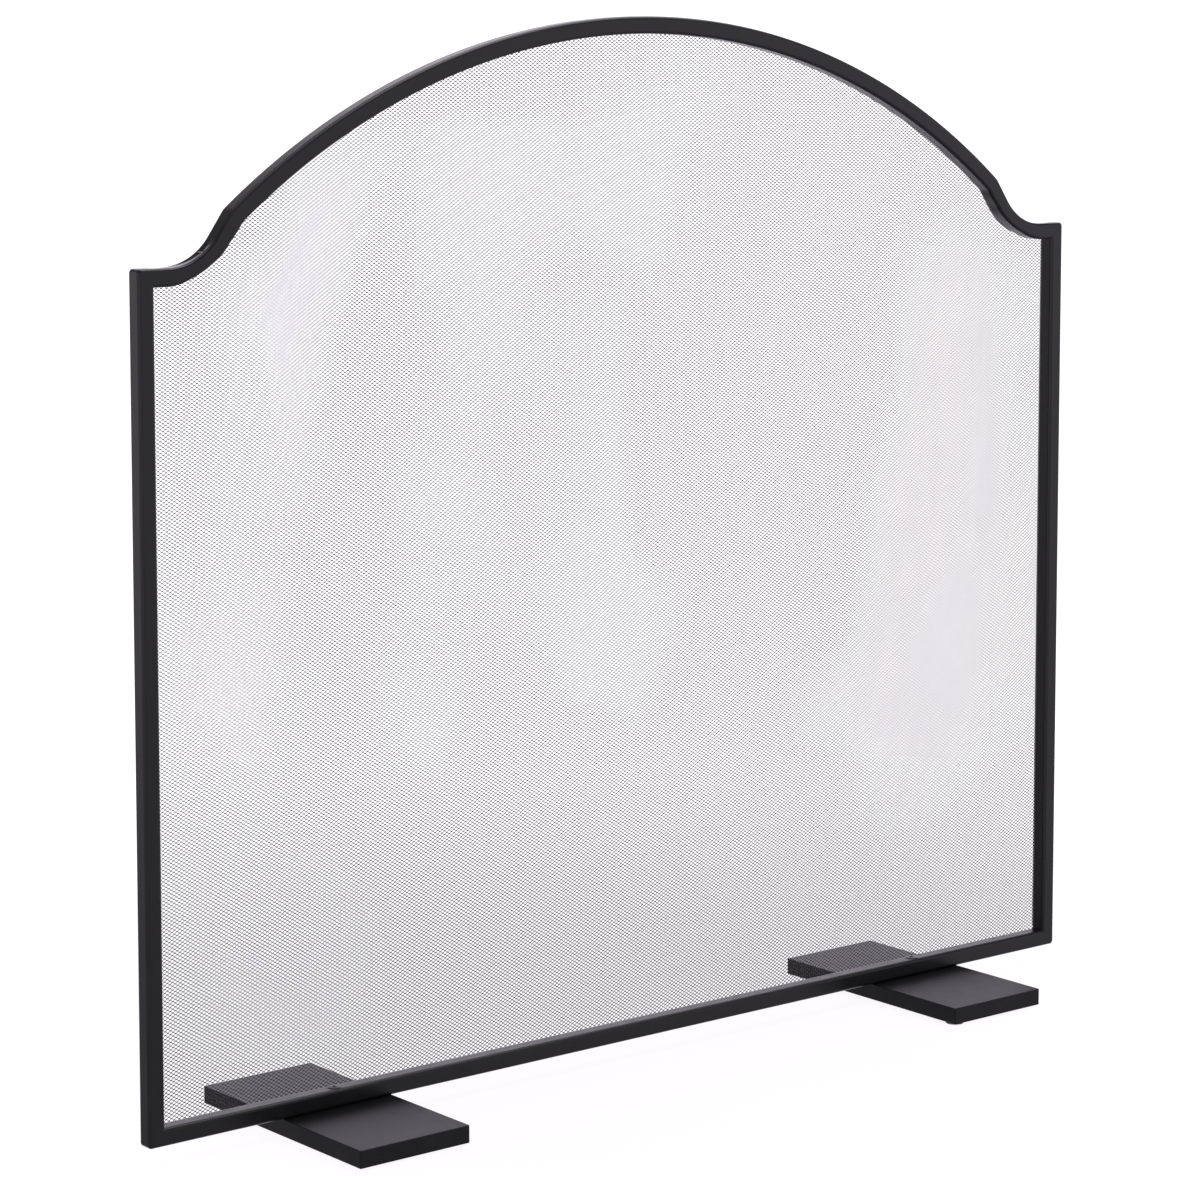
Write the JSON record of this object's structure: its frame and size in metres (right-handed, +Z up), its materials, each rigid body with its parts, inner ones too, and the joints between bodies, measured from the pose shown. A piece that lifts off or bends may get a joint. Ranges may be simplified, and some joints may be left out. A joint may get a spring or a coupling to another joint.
{
  "type": "fireplace screen",
  "caption": "Free-standing arched fireplace screen: black square-tube frame, fine expanded metal sheet and two flat bar feet that swivel.",
  "frame": {"origin": "on the floor under the middle of the screen", "axes": "+X to the viewer's right along the width, -Y towards the room, +Z up"},
  "size_m": [0.99, 0.22, 0.8799],
  "materials": {
    "frame_coat": "satin",
    "foot_coat": "satin",
    "mesh_coat": "matte",
    "strip_coat": "satin",
    "bolt_black": "satin",
    "screw_black": "satin",
    "pad_rubber": "matte"
  },
  "bodies": {
    "screen_frame": {"bottom_rail": "frame_coat", "left_upright": "frame_coat", "right_upright": "frame_coat", "arch_rail": "frame_coat", "left_scoop_rail": "frame_coat", "right_scoop_rail": "frame_coat", "mesh_panel": "mesh_coat", "bottom_strip": "strip_coat", "left_strip": "strip_coat", "right_strip": "strip_coat", "arch_strip": "strip_coat", "left_scoop_strip": "strip_coat", "right_scoop_strip": "strip_coat", "strip_screws": "screw_black"},
    "left_foot_group": {"left_foot": "foot_coat", "left_foot_bolt": "bolt_black", "left_foot_pads": "pad_rubber"},
    "right_foot_group": {"right_foot": "foot_coat", "right_foot_bolt": "bolt_black", "right_foot_pads": "pad_rubber"}
  },
  "joints": [
    {"name": "left_foot_swivel", "type": "hinge", "parent": "screen_frame", "child": "left_foot_group", "pos_m": [-0.318, 0, 0.0165], "axis": [0, 0, 1], "range_deg": [-90, 90]},
    {"name": "right_foot_swivel", "type": "hinge", "parent": "screen_frame", "child": "right_foot_group", "pos_m": [0.318, 0, 0.0165], "axis": [0, 0, 1], "range_deg": [-90, 90]}
  ]
}
